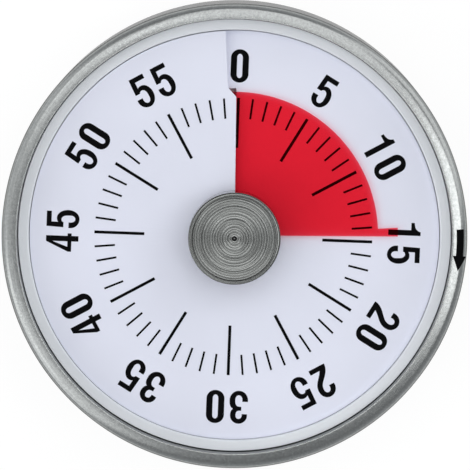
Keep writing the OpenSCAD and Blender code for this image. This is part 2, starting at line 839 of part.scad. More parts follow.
washer_t = 0.3;
washer_r = 3.4;
washer_z = great_z - hub_drop + great_hub_h + slide_gap;
module clutch_washer() {
    color(brass) translate([0, 0, washer_z]) ring(washer_r, spindle_r, washer_t);
}

// Cam with the notch that lets the hammer fall at zero
module trip_cam() {
    hub_w = 1.2;
    hub_z = washer_z + washer_t;
    notch_w = 2.2;
    notch_deep = 1.6;
    color([0.93, 0.93, 0.9]) difference() {
        union() {
            translate([0, 0, cam_z]) cylinder(r = cam_r, h = cam_t);
            translate([0, 0, hub_z]) cylinder(r = spindle_r + hub_w, h = cam_z - hub_z + cam_t / 2);
        }
        translate([0, 0, move_z]) cylinder(r = spindle_r, h = move_gap);
        rotate([0, 0, 90 - hammer_a - rest_a]) translate([cam_r - notch_deep, -notch_w / 2, cam_z - over])
            cube([notch_deep + over, notch_w, cam_t + 2 * over]);
    }
}

// Moulded core: a hub bored with a flat for the arbor, ribs and an outer wall under a disc
module knob_core() {
    core_r = knob_r - knob_wall;
    core_top = knob_top - knob_wall;
    hub_z = knob_z + 0.6;
    rib_z = knob_z + 1.6;
    hub_wall = 1.4;
    rib_w = 0.8;
    rib_in = arbor_r + hub_wall / 2;
    outer_w = 1;
    disc_t = 1.2;
    ribs = 6;
    bore_end = 0.2;
    color([0.2, 0.2, 0.21]) difference() {
        union() {
            translate([0, 0, hub_z]) cylinder(r = arbor_r + hub_wall, h = core_top - hub_z);
            translate([0, 0, rib_z]) ring(core_r, core_r - outer_w, core_top - rib_z);
            translate([0, 0, core_top - disc_t]) cylinder(r = core_r, h = disc_t);
            for (i = [0:ribs - 1]) rotate([0, 0, 360 * i / ribs]) translate([rib_in, -rib_w / 2, rib_z])
                cube([core_r - outer_w / 2 - rib_in, rib_w, core_top - rib_z]);
        }
        difference() {
            translate([0, 0, knob_z - over]) cylinder(r = arbor_r, h = arbor_top - knob_z + over + bore_end);
            translate([arbor_r - arbor_flat, -arbor_r, knob_z - 2 * over])
                cube([arbor_r, 2 * arbor_r, knob_h + 4 * over]);
        }
    }
}

// Turned cap with a chamfered edge, a shallow cone to its face and a centre dimple
module knob() {
    dimple_r = 0.55;
    dimple_h = 0.35;
    dish = 0.12;
    corner = 0.15;
    foot_edge = 0.2;
    chamfer_z = knob_top - 0.6 * knob_chamfer;
    color([0.66, 0.67, 0.66]) rotate_extrude()
        polygon([
            [0, knob_top - knob_wall], [0, knob_top - dimple_h], [dimple_r * 0.4, knob_top - 0.9 * dimple_h],
            [dimple_r, knob_top - dish], [knob_r - knob_chamfer, knob_top],
            [knob_r - corner, chamfer_z], [knob_r, chamfer_z - corner],
            [knob_r, knob_z + foot_edge], [knob_r - foot_edge, knob_z], [knob_r - knob_wall, knob_z],
            [knob_r - knob_wall, knob_top - knob_wall]
        ]);
}

/* ---- time disc ---- */

hub_margin = 0.15;
hub_bottom = dial_z + film_gap + ramp(rest_a - film_turn) - hub_margin;
hub_top = dial_z + film_gap + film_t + ramp(rest_a) + hub_margin;
hub_h = hub_top - hub_bottom;
module disc_hub() {
    flat_x = arbor_r - arbor_flat + slide_gap;
    color([0.9, 0.9, 0.9]) difference() {
        translate([0, 0, hub_bottom]) cylinder(r = hub_r, h = hub_h);
        difference() {
            translate([0, 0, hub_bottom - over]) cylinder(r = arbor_r + slide_gap, h = hub_h + 2 * over);
            translate([flat_x, -hub_r, hub_bottom - 2 * over]) cube([hub_r, 2 * hub_r, hub_h + 4 * over]);
        }
    }
}

module red_disc() {
    tab_root = 0.4;
    r = [hub_r + skin, film_r];
    t = [film_r - tab_root, film_r + tab_reach];
    film = [[r[0], film_t], [r[1], film_t], [r[1], 0], [r[0], 0]];
    tab = [[t[0], film_t - skin], [t[1], film_t - skin], [t[1], skin], [t[0], skin]];
    ends = [for (i = [0:3]) rest_a];
    color([0.95, 0.08, 0.18, 0.85]) union() {
        ramp_sweep(film, sweep_angles(rest_a - film_turn, rest_a), ends, dial_z + film_gap);
        ramp_sweep(tab, [rest_a - tab_a, rest_a - tab_a / 2], ends, dial_z + film_gap);
    }
}

/* ---- going train ---- */

module great_wheel() {
    bore = spindle_r + slide_gap;
    arms = 5;
    color(brass) translate([0, 0, great_z]) difference() {
        union() {
            crossed_wheel(main_m, great_n, second_pn, second_dir, great_t, great_hub_r, bore, arms);
            translate([0, 0, -hub_drop]) cylinder(r = great_hub_r, h = great_hub_h);
        }
        translate([0, 0, -over]) cylinder(r = bore, h = great_hub_h + 2 * over);
    }
}

// Wheel of the train, riveted to the pinion's arbor
wheel_hub_w = 1;
module train_wheel(place, z, n, dir) {
    color(brass) translate(concat(place, z))
        crossed_wheel(small_m, n, leaf_n, dir, wheel_t, arbor_body + wheel_hub_w, arbor_body);
}

// Pinion cut on its arbor. z0 and z1 are the ends of its leaves.
module train_pinion(place, m, n, mate, dir, z0, z1, pivot) {
    color(steel) translate(concat(place, 0)) union() {
        pivot_arbor(arbor_body, pivot);
        translate([0, 0, z0]) leaves(m, n, mate, dir + 180, z1 - z0);
    }
}

// Height by which a pinion's leaves stand past both faces of the wheel that drives them
leaf_over = 0.4;
module second_wheel() {
    train_wheel(second_at, second_z, second_n, third_dir);
}
module second_pinion() {
    train_pinion(second_at, main_m, second_pn, great_n, second_dir, great_z - leaf_over, second_z, big_pivot);
}
module small_pinion(place, mate, dir, mate_z, pivot) {
    train_pinion(place, small_m, leaf_n, mate, dir, mate_z - leaf_over, mate_z + wheel_t + leaf_over, pivot);
}
module third_wheel() {
    train_wheel(third_at, third_z, third_n, fourth_dir);
}
module third_pinion() {
    small_pinion(third_at, second_n, third_dir, second_z, big_pivot);
}
module fourth_wheel() {
    train_wheel(fourth_at, fourth_z, fourth_n, escape_dir);
}
module fourth_pinion() {
    small_pinion(fourth_at, third_n, fourth_dir, third_z, big_pivot);
}
module escape_pinion() {
    small_pinion(escape_at, fourth_n, escape_dir, fourth_z, small_pivot);
}

/* ---- escapement ---- */

// Wheel with raked pointed teeth
module escape_wheel() {
    tip = escape_r;
    root = 0.72 * tip;
    step = 360 / escape_n;
    holes = 4;
    hole_r = 0.13 * tip;
    outline = [
        for (i = [0:escape_n - 1]) each [
            at(root, i * step), at(tip, i * step + 0.18 * step), at(tip, i * step + 0.3 * step),
            at(root, i * step + 0.75 * step)
        ]
    ];
    color(brass) translate(concat(escape_at, escape_z)) difference() {
        linear_extrude(height = wheel_t) polygon(outline);
        translate([0, 0, -over]) cylinder(r = arbor_body, h = wheel_t + 2 * over);
        for (i = [0:holes - 1]) rotate([0, 0, 360 * (i + 0.5) / holes]) translate([0.62 * root, 0, -over])
            cylinder(r = hole_r, h = wheel_t + 2 * over);
    }
}

pin_r = 0.25;
pin_clear = 0.35;
pin_spread = 35;
pin_places = [
    for (s = [-1, 1]) escape_at + at(escape_r + pin_clear + pin_r, pallet_dir + s * pin_spread)
];
lever_w = 0.9;

// Flat bar with round ends from a to b
module bar(a, b, w, h) {
    d = b - a;
    translate(concat(a, 0)) rotate([0, 0, atan2(d[1], d[0])]) {
        translate([0, -w / 2, 0]) cube([norm(d), w, h]);
        cylinder(r = w / 2, h = h);
        translate([norm(d), 0, 0]) cylinder(r = w / 2, h = h);
    }
}

module pallet_lever() {
    fork_clear = 0.2;
    fork_end = balance_c - impulse_r - pin_r - fork_clear;
    fork_l = 1.1;
    fork_w = 1.5;
    fork_gap = 0.7;
    fork_floor = 0.4;
    fork_at = pallet_at + at(fork_end - fork_l, balance_dir);
    hub = 1.3;
    color(steel) translate([0, 0, lever_z]) difference() {
        union() {
            for (p = pin_places) bar(pallet_at, p, lever_w, wheel_t);
            bar(pallet_at, fork_at, lever_w, wheel_t);
            translate(concat(fork_at, 0)) rotate([0, 0, 90 - balance_dir])
                translate([0, -fork_w / 2, 0]) cube([fork_l, fork_w, wheel_t]);
            translate(concat(pallet_at, 0)) cylinder(r = hub, h = wheel_t);
        }
        translate(concat(pallet_at, -over)) cylinder(r = staff_r, h = wheel_t + 2 * over);
        translate(concat(fork_at, -over)) rotate([0, 0, 90 - balance_dir])
            translate([fork_floor, -fork_gap / 2, 0]) cube([fork_l, fork_gap, wheel_t + 2 * over]);
        for (p = pin_places) translate(concat(p, -over)) cylinder(r = pin_r, h = wheel_t + 2 * over);
    }
}

// Pallet arbor and the two steel pins that stand beside the escape wheel
module pallet_arbor() {
    pin_low = escape_z - 0.2;
    pin_high = lever_z + wheel_t;
    color(steel) {
        translate(concat(pallet_at, 0)) pivot_arbor(staff_r, small_pivot);
        for (p = pin_places) translate(concat(p, pin_low)) cylinder(r = pin_r, h = pin_high - pin_low);
    }
}

module balance_wheel() {
    band = 1;
    arms = 3;
    arm_w = 0.9;
    arm_t = 0.6;
    hub = 1.5;
    color(brass) translate(concat(balance_at, balance_z)) difference() {
        union() {
            ring(balance_r, balance_r - band, balance_t);
            for (i = [0:arms - 1]) rotate([0, 0, 360 * i / arms])
                translate([0, -arm_w / 2, 0]) cube([balance_r - band / 2, arm_w, arm_t]);
            cylinder(r = hub, h = balance_t);
        }
        translate([0, 0, -over]) cylinder(r = staff_r, h = balance_t + 2 * over);
    }
}

// Staff with its roller and impulse pin
module balance_staff() {
    roller_edge = 0.35;
    roller_t = 0.5;
    pin_end = 0.1;
    color(steel) translate(concat(balance_at, 0)) union() {
        pivot_arbor(staff_r, small_pivot);
        translate([0, 0, roller_z]) cylinder(r = impulse_r + pin_r + roller_edge, h = roller_t);
        translate(concat(at(impulse_r, balance_dir + 180), lever_z - pin_end))
            cylinder(r = pin_r, h = roller_z - lever_z + 2 * pin_end);
    }
}

/* ---- hammer ---- */

arm_t = 0.8;
tail_z = cam_z + (cam_t - arm_t) / 2;
arm_lift = 1;
arm_z = bell_z + bell_t + arm_lift;
tail_gap = 0.9;
hammer_body = hammer_pivot + 0.2;
module hammer_arbor() {
    low = arm_z - 0.2;
    seat_h = 1.6;
    collar_h = 0.5;
    color(steel) translate(concat(hammer_at, 0)) union() {
        translate([0, 0, low]) cylinder(r = hammer_pivot, h = front_z + plate_t - low);
        translate([0, 0, tail_z + (arm_t - seat_h) / 2]) cylinder(r = hammer_body, h = seat_h);
        translate([0, 0, move_z + end_shake]) cylinder(r = hammer_body, h = collar_h);
    }
}

// Tail that rides on the trip cam, and the arm that carries the head inside the bell
hammer_hub = 1.8;
head_at = hammer_at + at(hammer_reach, hammer_dir);
head_shank = 0.5;
module hammer_arm() {
    tail_w = 1;
    arm_w = 1.2;
    tail_end = at(cam_r + tail_gap, hammer_a);
    color(steel) {
        difference() {
            translate([0, 0, tail_z]) union() {
                bar(hammer_at, tail_end, tail_w, arm_t);
                translate(concat(hammer_at, 0)) cylinder(r = hammer_hub, h = arm_t);
            }
            translate(concat(hammer_at, tail_z - over)) cylinder(r = hammer_body, h = arm_t + 2 * over);
        }
        difference() {
            translate([0, 0, arm_z]) union() {
                bar(hammer_at, head_at, arm_w, arm_t);
                translate(concat(hammer_at, 0)) cylinder(r = hammer_hub, h = arm_t);
            }
            translate(concat(hammer_at, arm_z - over)) cylinder(r = hammer_pivot, h = arm_t + 2 * over);
            translate(concat(head_at, arm_z - over)) cylinder(r = head_shank, h = arm_t + 2 * over);
        }
    }
}

module hammer_head() {
    head_h = 1;
    color([0.75, 0.72, 0.6]) translate(concat(head_at, arm_z)) union() {
        translate([0, 0, arm_t]) cylinder(r = hammer_r, h = head_h);
        cylinder(r = head_shank, h = arm_t + head_h / 2);
    }
}

case_shell();
bezel_ring();
dial_plate();
dial_tray();
arbor_bush();
rear_cover();
cover_screws();
magnets();
foot_ring();
front_plate();
back_plate();
pillars();
movement_screws();
plate_screws();
spring_studs();
mainspring();
hairspring();
hammer_spring();
bell();
bell_post();
bell_screw();
main_arbor();
arbor_clip();
clutch_washer();
trip_cam();
knob_core();
knob();
disc_hub();
red_disc();
great_wheel();
second_wheel();
second_pinion();
third_wheel();
third_pinion();
fourth_wheel();
fourth_pinion();
escape_wheel();
escape_pinion();
pallet_lever();
pallet_arbor();
balance_wheel();
balance_staff();
hammer_arbor();
hammer_arm();
hammer_head();
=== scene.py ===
"""Looks of the visual countdown timer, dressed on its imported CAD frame. Lengths are in metres.

+Z points out of the dial and +Y to 12 o'clock. A clock angle runs clockwise from 12 o'clock, in
degrees.
"""

import math

import bpy
from mathutils import Matrix, Vector


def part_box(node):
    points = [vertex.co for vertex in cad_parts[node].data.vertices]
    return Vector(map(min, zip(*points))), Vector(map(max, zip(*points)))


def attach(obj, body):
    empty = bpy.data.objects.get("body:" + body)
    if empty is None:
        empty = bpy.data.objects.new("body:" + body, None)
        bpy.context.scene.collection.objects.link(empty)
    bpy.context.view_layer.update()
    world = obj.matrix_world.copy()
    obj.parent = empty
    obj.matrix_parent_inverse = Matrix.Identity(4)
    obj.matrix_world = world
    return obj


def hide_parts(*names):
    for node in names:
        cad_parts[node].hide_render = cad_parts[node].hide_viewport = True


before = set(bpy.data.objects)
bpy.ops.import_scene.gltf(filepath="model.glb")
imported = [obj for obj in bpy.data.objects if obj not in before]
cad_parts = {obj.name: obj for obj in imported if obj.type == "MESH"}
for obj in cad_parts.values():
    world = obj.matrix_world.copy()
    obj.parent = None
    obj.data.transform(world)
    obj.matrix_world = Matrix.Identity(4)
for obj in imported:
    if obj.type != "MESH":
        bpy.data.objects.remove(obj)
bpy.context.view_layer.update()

MM = 0.001

# ---- places and sizes ------------------------------------------------------------------------


def low(node):
    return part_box(node)[0]


def high(node):
    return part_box(node)[1]


CASE_R = high("case_shell").x
CASE_LOW = low("case_shell").z
RIM_TOP = high("case_shell").z
BEZEL_OUT_R = high("bezel_ring").x
BEZEL_LOW = low("bezel_ring").z
KNOB_R = high("knob").x
KNOB_LOW = low("knob").z
KNOB_TOP = high("knob").z

# driving sizes of the case, the bezel, the dial and the knob
CASE_WALL = 0.6 * MM
RIM_W = 2.64 * MM
RIM_ABOVE = 3.6 * MM
RIM_ROLL_W = 1.5 * MM
RIM_ROLL_H = 1.55 * MM
LIP_DEPTH = 5.0 * MM
LIP_CORNER_R = 0.13 * MM
BEZEL_W = 1.96 * MM
BEZEL_GAP = 0.13 * MM
# the ring sits a little off the case's middle, so its gap is wider at the bottom
BEZEL_OFF = (0.0, 0.05 * MM, 0.0)
BEZEL_RISE = 0.1 * MM
BEZEL_ABOVE = 0.4 * MM
# the dial climbs by RAMP_H in one turn, from its step at the clock angle STEP_A
RAMP_H = 1.6 * MM
STEP_A = -4.6
KNOB_CHAMFER = 0.8 * MM
KNOB_WALL = 0.8 * MM
KNOB_DIMPLE_R = 0.45 * MM
KNOB_GROOVES = 15
RING_SIDES = 320
KNOB_SIDES = 192

RIM_IN_R = CASE_R - RIM_W
DIAL_R = RIM_IN_R - BEZEL_W
DIAL_HI = RIM_TOP - RIM_ABOVE
DIAL_Z = DIAL_HI - RAMP_H
BEZEL_FACE = DIAL_HI + BEZEL_ABOVE
KNOB_FACE_R = KNOB_R - KNOB_CHAMFER
KNOB_PITCH = (KNOB_FACE_R - KNOB_DIMPLE_R) / KNOB_GROOVES

# ---- small helpers ---------------------------------------------------------------------------

# points nearer to the Z axis than this lie on it
ON_AXIS = 1e-9


def at(r, a, z=0.0):
    """Point at radius r and clock angle a."""
    return Vector((r * math.sin(math.radians(a)), r * math.cos(math.radians(a)), z))


def arc(cx, cy, rx, ry, a0, a1, n=12):
    """Points of an elliptical arc, with its angles in degrees from +x towards +y."""
    angles = [math.radians(a0 + (a1 - a0) * i / n) for i in range(n + 1)]
    return [(cx + rx * math.cos(a), cy + ry * math.sin(a)) for a in angles]


def bend(p0, p1, p2, p3, n=10):
    """Points of a cubic curve after its first one."""
    points = []
    for i in range(1, n + 1):
        t = i / n
        u = 1 - t
        parts = list(zip((u**3, 3 * u * u * t, 3 * u * t * t, t**3), (p0, p1, p2, p3)))
        points.append(tuple(sum(share * p[k] for share, p in parts) for k in (0, 1)))
    return points


def add(name, data):
    """Adds an object with this data to the scene."""
    added = bpy.data.objects.new(name, data)
    bpy.context.scene.collection.objects.link(added)
    return added


def add_mesh(name, vertices, faces, smooth=True):
    mesh = bpy.data.meshes.new(name)
    mesh.from_pydata(vertices, [], faces)
    mesh.validate()
    if smooth:
        mesh.shade_smooth()
    else:
        mesh.shade_flat()
    return add(name, mesh)


def revolve(name, profile, sides, closed=True):
    """Turns a profile of (radius, height) points about the Z axis.

    A point on the axis becomes one vertex.
    """
    vertices, rows = [], []
    for r, z in profile:
        start = len(vertices)
        if r < ON_AXIS:
            vertices.append((0.0, 0.0, z))
            rows.append([start] * sides)
        else:
            vertices += [tuple(at(r, 360 * i / sides, z)) for i in range(sides)]
            rows.append(list(range(start, start + sides)))
    pairs = list(zip(rows, rows[1:] + rows[:1] if closed else rows[1:]))
    faces = []
    for a, b in pairs:
        for i in range(sides):
            j = (i + 1) % sides
            face = [a[i], b[i], b[j], a[j]]
            corners = list(dict.fromkeys(face))
            if len(corners) > 2:
                faces.append(corners)
    return add_mesh(name, vertices, faces)


def keep_edges(piece, degrees=30):
    """Smooth shading that stays crisp at edges sharper than the angle."""
    bpy.context.view_layer.objects.active = piece
    piece.select_set(True)
    bpy.ops.object.shade_smooth_by_angle(angle=math.radians(degrees))
    piece.select_set(False)


# ---- materials -------------------------------------------------------------------------------

# the spans of a noise, of a share and of a cosine that are spread over a shade or a roughness
WIDE = (0.3, 0.7)
NARROW = (0.35, 0.65)
LINES = (0.32, 0.66)
WHOLE = (0.0, 1.0)
WAVE = (-1.0, 1.0)

# the colour sockets of a Mix node, which share their names with its other sockets
MIX_A, MIX_B, MIX_RESULT = 6, 7, 2

# added under the root, so that nothing is divided by zero on the axis
NEVER_ZERO = 1e-12


class Look:
    """A Principled material with short calls for the nodes that drive it."""

    def __init__(self, name, colour, rough, metal=0.0, **sockets):
        self.mat = bpy.data.materials.new(name)
        self.mat.use_nodes = True
        self.nodes = self.mat.node_tree.nodes
        self.links = self.mat.node_tree.links
        self.bsdf = self.nodes["Principled BSDF"]
        self.colour = (*colour, 1.0)
        self.put("Base Color", self.colour)
        self.put("Roughness", rough)
        self.put("Metallic", metal)
        for socket, value in sockets.items():
            self.put(socket.replace("_", " "), value)

    def put(self, socket, value):
        if isinstance(value, bpy.types.NodeSocket):
            self.links.new(value, self.bsdf.inputs[socket])
        else:
            self.bsdf.inputs[socket].default_value = value

    def node(self, kind, inputs=None, **settings):
        n = self.nodes.new(kind)
        for key, value in settings.items():
            setattr(n, key, value)
        for key, value in (inputs or {}).items():
            if isinstance(value, bpy.types.NodeSocket):
                self.links.new(value, n.inputs[key])
            else:
                n.inputs[key].default_value = value
        return n

    def maths(self, operation, a, b=0.0):
        return self.node("ShaderNodeMath", {0: a, 1: b}, operation=operation).outputs[0]

    def place(self):
        """Coordinates of the row frame, in metres."""
        return self.node("ShaderNodeTexCoord").outputs["Object"]

    def noise(self, scale, detail=2.0, vector=None, rough=0.5):
        place = vector or self.place()
        inputs = {"Scale": scale, "Detail": detail, "Roughness": rough, "Vector": place}
        return self.node("ShaderNodeTexNoise", inputs).outputs["Fac"]

    def ramp(self, value, span, to_low, to_high):
        """Spreads the values inside span from to_low to to_high, and holds the rest at the ends."""
        ends = {"From Min": span[0], "From Max": span[1], "To Min": to_low, "To Max": to_high}
        return self.node("ShaderNodeMapRange", {"Value": value, **ends}).outputs["Result"]

    def turned(self, around, across):
        """Coordinates for marks that run round the Z axis, and the distance from it.

        The marks are 1/around radians long and 1/across wide.
        """
        parts = self.node("ShaderNodeSeparateXYZ", {0: self.place()}).outputs
        x, y, z = (parts[k] for k in "XYZ")
        r2 = self.maths("ADD", self.maths("MULTIPLY", x, x), self.maths("MULTIPLY", y, y))
        r = self.maths("SQRT", self.maths("ADD", r2, NEVER_ZERO))
        ux = self.maths("MULTIPLY", self.maths("DIVIDE", x, r), around)
        uy = self.maths("MULTIPLY", self.maths("DIVIDE", y, r), around)
        height = self.maths("MULTIPLY", z, across)
        depth = self.maths("ADD", self.maths("MULTIPLY", r, across), height)
        return self.node("ShaderNodeCombineXYZ", {0: ux, 1: uy, 2: depth}).outputs[0], r

    def shade(self, value, span, dark, light):
        """Multiplies the colour by dark to light as value goes from end to end of span."""
        mixed = self.node("ShaderNodeMix", {"Factor": 1.0}, data_type="RGBA", blend_type="MULTIPLY")
        source = self.bsdf.inputs["Base Color"]
        if source.is_linked:
            self.links.new(source.links[0].from_socket, mixed.inputs[MIX_A])
        else:
            mixed.inputs[MIX_A].default_value = self.colour
        self.links.new(self.ramp(value, span, dark, light), mixed.inputs[MIX_B])
        self.put("Base Color", mixed.outputs[MIX_RESULT])

    def relief(self, height, depth):
        """Bump of the given depth in metres."""
        bump = self.node("ShaderNodeBump", {"Height": height, "Distance": depth, "Strength": 1.0})
        self.put("Normal", bump.outputs["Normal"])

    def tangent(self):
        """Grooves that run round the Z axis."""
        round_z = self.node("ShaderNodeTangent", direction_type="RADIAL", axis="Z")
        self.put("Tangent", round_z.outputs[0])

    def cover(self, under, over, share):
        """Makes the surface of two shaders, with this share of the second."""
        mix = self.node("ShaderNodeMixShader", {0: share, 1: under, 2: over})
        self.links.new(mix.outputs[0], self.nodes["Material Output"].inputs["Surface"])


def brushed_case_steel():
    """Satin stainless steel, brushed round the axis, with small specks."""
    edge_tint = (0.15, 0.15, 0.15, 1.0)
    steel = (0.372, 0.385, 0.381)
    look = Look("case_steel_brushed", steel, 0.2, 1.0, Anisotropic=0.3, Specular_Tint=edge_tint)
    look.tangent()
    marks, _ = look.turned(14.0, 9000.0)
    lines = look.noise(1.0, 3.0, marks, 0.65)
    specks = look.noise(2600.0)
    cloud = look.noise(1500.0, 3.0)
    look.shade(lines, WIDE, 0.9, 1.0)
    look.shade(specks, NARROW, 0.9, 1.05)
    look.put("Roughness", look.ramp(cloud, WIDE, 0.18, 0.23))
    height = look.maths("ADD", lines, look.maths("MULTIPLY", specks, 0.6))
    look.relief(height, 0.003 * MM)
    return look.mat


def turned_knob_steel():
    """Steel as it comes off the lathe, with fine grooves round its axis, painted shade in their
    floors and a painted highlight on their ridges.
    """
    look = Look("knob_steel_turned", (0.14, 0.145, 0.141), 0.12, 1.0, Anisotropic=0.95)
    look.tangent()
    marks, r = look.turned(0.6, 7500.0)
    lines = look.noise(1.0, 0.0, marks)
    look.shade(lines, LINES, 0.75, 1.25)
    # painted shade and highlight: the floors of the grooves are darker than the ridges between
    # them, and the ridges are lighter than the steel
    turns = look.maths("DIVIDE", look.maths("SUBTRACT", r, KNOB_DIMPLE_R), KNOB_PITCH)
    groove_shade_and_highlight = look.maths("COSINE", look.maths("MULTIPLY", turns, 2 * math.pi))
    look.shade(groove_shade_and_highlight, WAVE, 0.66, 1.3)
    look.put("Roughness", look.ramp(lines, WIDE, 0.14, 0.1))
    look.relief(lines, 0.003 * MM)
    return look.mat


def moulded(name, colour, rough, grain=900.0, depth=0.003 * MM):
    """Moulded plastic with a faint grain and a slow change of tone."""
    look = Look(name, colour, rough)
    slow = look.noise(45.0)
    fine = look.noise(grain, 3.0)
    look.shade(slow, NARROW, 0.97, 1.02)
    look.put("Roughness", look.ramp(fine, WIDE, rough * 0.85, rough * 1.15))
    look.relief(fine, depth)
    return look.mat


def machined(name, colour, rough):
    """Small machined or stamped metal part."""
    look = Look(name, colour, rough, 1.0)
    fine = look.noise(1800.0, 3.0)
    patches = look.noise(320.0)
    look.shade(fine, WIDE, 0.85, 1.03)
    look.put("Roughness", look.ramp(patches, WIDE, rough * 0.8, rough * 1.25))
    look.relief(fine, 0.004 * MM)
    return look.mat


def red_film():
    """Clear red gel: most light goes through it and a little comes back from its dye."""
    look = Look("red_film", (0.98, 0.006, 0.03), 0.15, IOR=1.35, Specular_IOR_Level=0.3)
    # the light crosses four faces on its way to the dial and back
    gel = look.node("ShaderNodeBsdfTransparent", {"Color": (1.0, 0.38, 0.445, 1.0)})
    dye = look.ramp(look.noise(60.0), NARROW, 0.006, 0.012)
    look.cover(gel.outputs[0], look.bsdf.outputs[0], dye)
    return look.mat


def ink(name, colour):
    """Printed ink, a little uneven."""
    look = Look(name, colour, 0.8, Specular_IOR_Level=0.03)
    look.shade(look.noise(1500.0), WHOLE, 0.75, 1.25)
    return look.mat


case_steel = brushed_case_steel()
# near-black steel under the rim stands in for the shade in the gap round the bezel: painted shade
case_gap_painted_shade = machined("case_steel_gap_painted_shade", (0.07, 0.07, 0.07), 0.5)
# darker steel on the flange's inner wall stands in for the shade of the crevice under the rim's
# edge: painted shade
case_lip_painted_shade = machined("case_steel_lip_painted_shade", (0.27, 0.28, 0.28), 0.35)
knob_steel = turned_knob_steel()
bezel_white = moulded("bezel_white_gloss", (0.78, 0.81, 0.85), 0.22)
dial_white = moulded("dial_white_satin", (0.76, 0.78, 0.89), 0.45)
tray_white = moulded("tray_white", (0.70, 0.71, 0.74), 0.5)
black_plastic = moulded("black_plastic", (0.018, 0.018, 0.02), 0.45, 1400.0, 0.02 * MM)
cam_plastic = moulded("cam_plastic", (0.82, 0.81, 0.76), 0.4)
foot_rubber = moulded("foot_rubber", (0.02, 0.02, 0.021), 0.75, 1100.0, 0.02 * MM)
brass = machined("brass_stamped", (0.72, 0.52, 0.22), 0.28)
screw_steel = machined("screw_steel", (0.60, 0.60, 0.61), 0.3)
arbor_steel = machined("arbor_steel", (0.58, 0.59, 0.61), 0.22)
spring_steel = machined("spring_steel", (0.30, 0.34, 0.44), 0.3)
bell_steel = machined("bell_steel", (0.66, 0.66, 0.68), 0.2)
magnet_nickel = machined("magnet_nickel", (0.62, 0.61, 0.59), 0.16)
film_red = red_film()
dial_ink = ink("dial_ink", (0.0035, 0.0035, 0.004))
arrow_ink = ink("arrow_ink", (0.003, 0.003, 0.0035))

NODE_LOOKS = {
    "dial_plate": dial_white,
    "dial_tray": tray_white,
    "disc_hub": tray_white,
    "arbor_bush": brass,
    "rear_cover": black_plastic,
    "knob_core": black_plastic,
    "cover_screws": screw_steel,
    "magnets": magnet_nickel,
    "foot_ring": foot_rubber,
    "front_plate": brass,
    "back_plate": brass,
    "pillars": brass,
    "clutch_washer": brass,
    "great_wheel": brass,
    "second_wheel": brass,
    "third_wheel": brass,
    "fourth_wheel": brass,
    "escape_wheel": brass,
    "balance_wheel": brass,
    "hammer_head": brass,
    "mainspring": spring_steel,
    "hairspring": spring_steel,
    "hammer_spring": spring_steel,
    "bell": bell_steel,
    "trip_cam": cam_plastic,
    "red_disc": film_red,
}
# last words of the nodes outside NODE_LOOKS that are screws or studs; the others are arbor steel
SCREW_WORDS = ("screws", "studs", "post", "screw")


def dress(piece, mat):
    piece.data.materials.clear()
    piece.data.materials.append(mat)


def dress_node(name, node):
    """Gives a CAD node its better material without touching its mesh."""
    turned_part = screw_steel if name.split("_")[-1] in SCREW_WORDS else arbor_steel
    mat = NODE_LOOKS.get(name, turned_part)
    for slot in node.material_slots:
        slot.material = mat


for node_name, node_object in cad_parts.items():
    dress_node(node_name, node_object)

# ---- case, bezel and knob --------------------------------------------------------------------


def rim_outline():
    """Outside of the rim from its flange outwards: small corner, slightly crowned face and roll."""
    face_in = RIM_IN_R + LIP_CORNER_R
    face_out = CASE_R - RIM_ROLL_W
    crown, slope = 0.13 * MM, 0.7
    points = arc(face_in, RIM_TOP - LIP_CORNER_R, LIP_CORNER_R, LIP_CORNER_R, 180, 90, 10)
    steps = 8
    for i in range(1, steps + 1):
        t = i / steps
        fall = crown * t * (slope + (1 - slope) * t)
        points.append((face_in + (face_out - face_in) * t, RIM_TOP - fall))
    # the roll's curve leaves the face almost level and meets the wall upright
    start = points[-1]
    end = (CASE_R, RIM_TOP - RIM_ROLL_H)
    level = (start[0] + 0.48 * RIM_ROLL_W, start[1] - 0.1 * MM)
    upright = (end[0], end[1] + 0.68 * RIM_ROLL_H)
    return points + bend(start, level, upright, end, 28)


def rim_z(r):
    """Height of the rim's outside at radius r."""
    outline = rim_outline()
    for (r0, z0), (r1, z1) in zip(outline, outline[1:]):
        if r0 <= r <= r1 and r1 > r0:
            return z0 + (z1 - z0) * (r - r0) / (r1 - r0)
    return RIM_TOP


def make_case():
    """Drawn steel cup: wall, rolled rim and the flange that turns down inside."""
    thinned = 0.2 * MM
    roll_w = RIM_ROLL_W - thinned
    roll_h = RIM_ROLL_H - thinned
    wall_in = CASE_R - CASE_WALL
    foot = 0.25 * MM
    lip_low = RIM_TOP - LIP_DEPTH
    hem = 0.15 * MM
    under = RIM_TOP - CASE_WALL
    wall_top = RIM_TOP - RIM_ROLL_H
    wall_rows = 6
    profile = [(wall_in, CASE_LOW)]
    profile += arc(CASE_R - foot, CASE_LOW + foot, foot, foot, -90, 0, 5)
    for i in range(1, wall_rows):
        profile.append((CASE_R, CASE_LOW + (wall_top - CASE_LOW) * i / wall_rows))
    profile += rim_outline()[::-1]
    flange = len(profile)
    profile.append((RIM_IN_R, BEZEL_FACE + BEZEL_RISE))
    profile += [(RIM_IN_R, lip_low + hem), (RIM_IN_R + hem, lip_low)]
    profile += [(RIM_IN_R + CASE_WALL, lip_low), (RIM_IN_R + CASE_WALL, under)]
    profile += arc(wall_in - roll_w, under - roll_h, roll_w, roll_h, 90, 0, 12)
    piece = revolve("case_rim", profile, RING_SIDES)
    keep_edges(piece)
    dress(piece, case_steel)
    piece.data.materials.append(case_gap_painted_shade)
    piece.data.materials.append(case_lip_painted_shade)
    inside, shaded_lip = 1, 2
    for face in piece.data.polygons:
        row = face.index // RING_SIDES
        # the flange's inner wall below the rim's edge gets the darker steel: painted shade
        if row == flange - 1:
            face.material_index = shaded_lip
        # the rim's hidden underside, seen down the gap, gets the near-black steel: painted shade
        elif flange <= row < len(profile) - 1:
            face.material_index = inside
    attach(piece, "case")
    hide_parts("case_shell")


